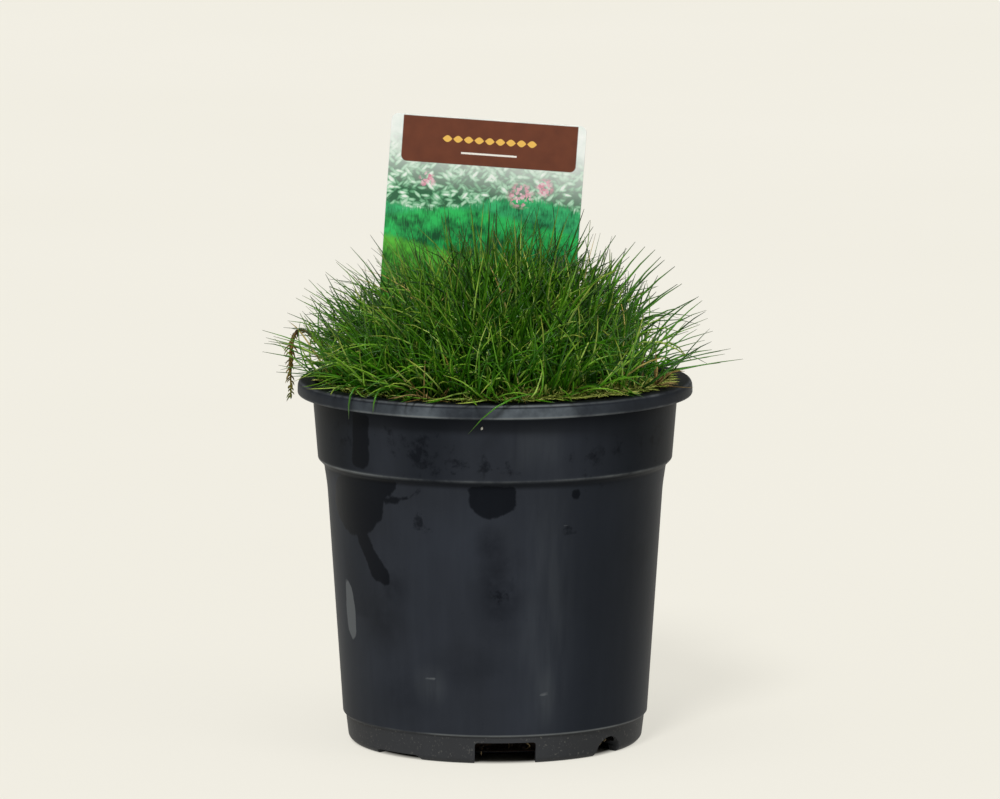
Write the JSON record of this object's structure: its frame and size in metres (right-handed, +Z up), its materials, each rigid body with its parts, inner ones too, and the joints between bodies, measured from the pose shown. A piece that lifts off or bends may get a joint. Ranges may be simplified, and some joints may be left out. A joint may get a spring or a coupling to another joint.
{
  "type": "potted ornamental grass",
  "caption": "Low mound of fine needle-like grass in a round rimmed nursery pot with drain openings at its foot, and a picture card on a stake behind the leaves.",
  "frame": {"origin": "middle of the pot's foot, on the surface that it stands on", "axes": "+Z up; -Y is the front, where the card's picture faces; +X to the right, seen from the front"},
  "size_m": [0.2086, 0.2071, 0.2673],
  "materials": {
    "pot_plastic": "satin injection-moulded polypropylene, charcoal, with a thin dusty bloom and wiped patches",
    "peat": "moist dark peat compost, rough",
    "label_card": "thin printed plastic card, smooth with a low gloss",
    "leaf": "waxy needle leaves, dark green inside to yellow-green outside",
    "dry_leaf": "spent leaves, tan and papery",
    "husk": "dried seed stalk, brown to olive"
  },
  "bodies": {
    "root": {"pot": "pot_plastic", "soil": "peat", "picture_label": "label_card", "seed_stalk": "husk", "dry_leaves_01": "dry_leaf", "dry_leaves_02": "dry_leaf", "dry_leaves_03": "dry_leaf", "tuft_01": "leaf", "tuft_02": "leaf", "tuft_03": "leaf", "tuft_04": "leaf", "tuft_05": "leaf", "tuft_06": "leaf", "tuft_07": "leaf", "tuft_08": "leaf", "tuft_09": "leaf", "tuft_10": "leaf", "tuft_11": "leaf", "tuft_12": "leaf", "tuft_13": "leaf", "tuft_14": "leaf", "tuft_15": "leaf", "tuft_16": "leaf", "tuft_17": "leaf", "tuft_18": "leaf", "tuft_19": "leaf", "tuft_20": "leaf", "tuft_21": "leaf", "tuft_22": "leaf", "tuft_23": "leaf", "tuft_24": "leaf"}
  },
  "joints": []
}
